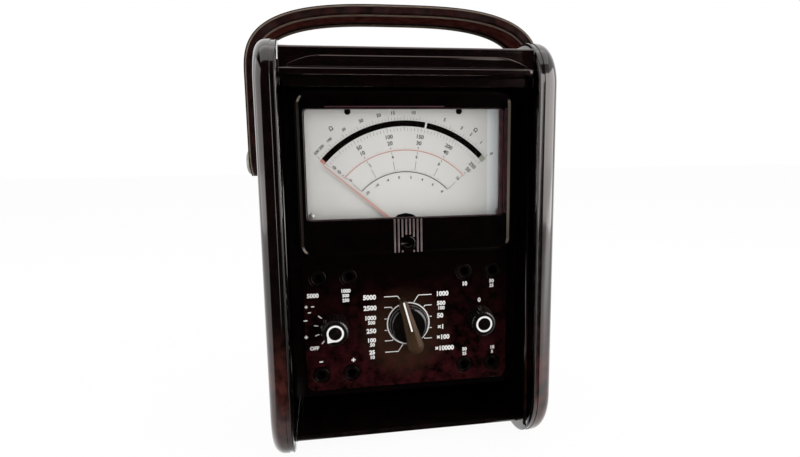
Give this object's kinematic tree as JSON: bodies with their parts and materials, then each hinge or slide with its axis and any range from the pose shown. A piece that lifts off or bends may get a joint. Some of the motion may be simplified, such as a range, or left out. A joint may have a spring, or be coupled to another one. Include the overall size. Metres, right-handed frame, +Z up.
{
  "type": "analogue multimeter",
  "caption": "Analogue volt-ohm meter in a moulded safety case with a roll front, a bar-knob range switch, side knobs, lead sockets, a lead compartment and a carrying strap.",
  "frame": {"origin": "on the floor, under the middle of the case", "axes": "+Z up, the instrument's face looks along -Y, +X to the viewer's right"},
  "size_m": [0.1734, 0.1206, 0.244],
  "materials": {
    "phenolic": "polished black-brown phenolic moulding",
    "panel": "black phenolic panel with a brown-red sheen",
    "curtain": "semi-gloss black slats",
    "strap": "semi-gloss black-brown vinyl strap",
    "knob": "glossy black knob",
    "jack": "dark socket insulator",
    "window": "clear flat window",
    "dial": "warm white painted dial",
    "pointer": "thin red-brown pointer",
    "nickel": "nickel-plated steel",
    "brass": "plain brass",
    "magnet": "cast magnet steel",
    "soft_iron": "machined soft iron",
    "copper": "enamelled copper winding",
    "laminate": "brown phenolic laminate",
    "resistor": "moulded resistor body",
    "cell": "plain blue battery jacket",
    "tray": "black battery tray"
  },
  "bodies": {
    "case": {"cheek_left": "phenolic", "cheek_right": "phenolic", "case_body": "phenolic", "instrument_panel": "panel", "meter_window": "window", "dial_plate": "dial", "dial_screw_left": "nickel", "dial_screw_right": "nickel", "window_screw_left": "nickel", "window_screw_right": "nickel", "movement_backing_plate": "nickel", "pole_piece_left": "soft_iron", "pole_piece_right": "soft_iron", "horseshoe_magnet": "magnet", "iron_core": "soft_iron", "rear_bridge": "brass", "range_detent_plate": "nickel", "range_wafer": "laminate", "range_tie_rod_left": "nickel", "range_tie_rod_right": "nickel", "function_switch_frame": "nickel", "function_wafer": "laminate", "zero_ohms_potentiometer": "nickel", "jack_lower_left_outer": "jack", "jack_lower_left_inner": "jack", "jack_lower_right_inner": "jack", "jack_lower_right_outer": "jack", "jack_upper_left_outer": "jack", "jack_upper_left_inner": "jack", "jack_upper_right_inner": "jack", "jack_upper_right_outer": "jack", "circuit_board": "laminate", "multiplier_resistor_1": "resistor", "multiplier_resistor_2": "resistor", "multiplier_resistor_3": "resistor", "battery_tray": "tray", "round_cell": "cell", "block_battery": "cell", "cell_contact_left": "brass", "cell_contact_right": "brass", "roll_front_curtain": "curtain", "roll_front_leading_slats": "curtain", "handle_stud_left": "nickel", "handle_stud_right": "nickel"},
    "handle": {"handle_strap": "strap"},
    "roll_front": {"roll_front_bar": "phenolic"},
    "range_selector": {"range_knob": "knob", "range_switch_shaft": "nickel", "range_rotor": "brass"},
    "function_selector": {"function_knob": "knob", "function_switch_shaft": "nickel"},
    "zero_ohms": {"zero_ohms_knob": "knob", "zero_ohms_shaft": "nickel"},
    "zero_adjuster": {"zero_adjust_screw": "knob"},
    "meter_movement": {"pointer": "pointer", "pivot_staff_front": "nickel", "pivot_staff_rear": "nickel", "moving_coil": "copper", "hairspring_front": "brass", "hairspring_rear": "brass"}
  },
  "joints": [
    {"name": "handle_swing", "type": "hinge", "parent": "case", "child": "handle", "pos_m": [0, 0, 0.159], "axis": [1, 0, 0], "range_deg": [-11, 11]},
    {"name": "roll_front_slide", "type": "slide", "parent": "case", "child": "roll_front", "axis": [0, 0, 1], "range_m": [-0.184, 0], "deforming": ["roll_front_leading_slats"]},
    {"name": "range_switch_turn", "type": "hinge", "parent": "case", "child": "range_selector", "pos_m": [0, -0.0469, 0.0693], "axis": [0, 1, 0], "continuous": true},
    {"name": "function_switch_turn", "type": "hinge", "parent": "case", "child": "function_selector", "pos_m": [-0.0404, -0.0469, 0.0693], "axis": [0, 1, 0], "range_deg": [0, 90]},
    {"name": "zero_ohms_turn", "type": "hinge", "parent": "case", "child": "zero_ohms", "pos_m": [0.0404, -0.0469, 0.0693], "axis": [0, 1, 0], "range_deg": [-150, 150]},
    {"name": "zero_adjust_turn", "type": "hinge", "parent": "case", "child": "zero_adjuster", "pos_m": [0, -0.04, 0.1145], "axis": [0, 1, 0], "range_deg": [-60, 60]},
    {"name": "pointer_swing", "type": "hinge", "parent": "case", "child": "meter_movement", "pos_m": [0, -0.0334, 0.1202], "axis": [0, 1, 0], "range_deg": [0, 100], "stiffness_Nm_per_rad": 0.001}
  ]
}
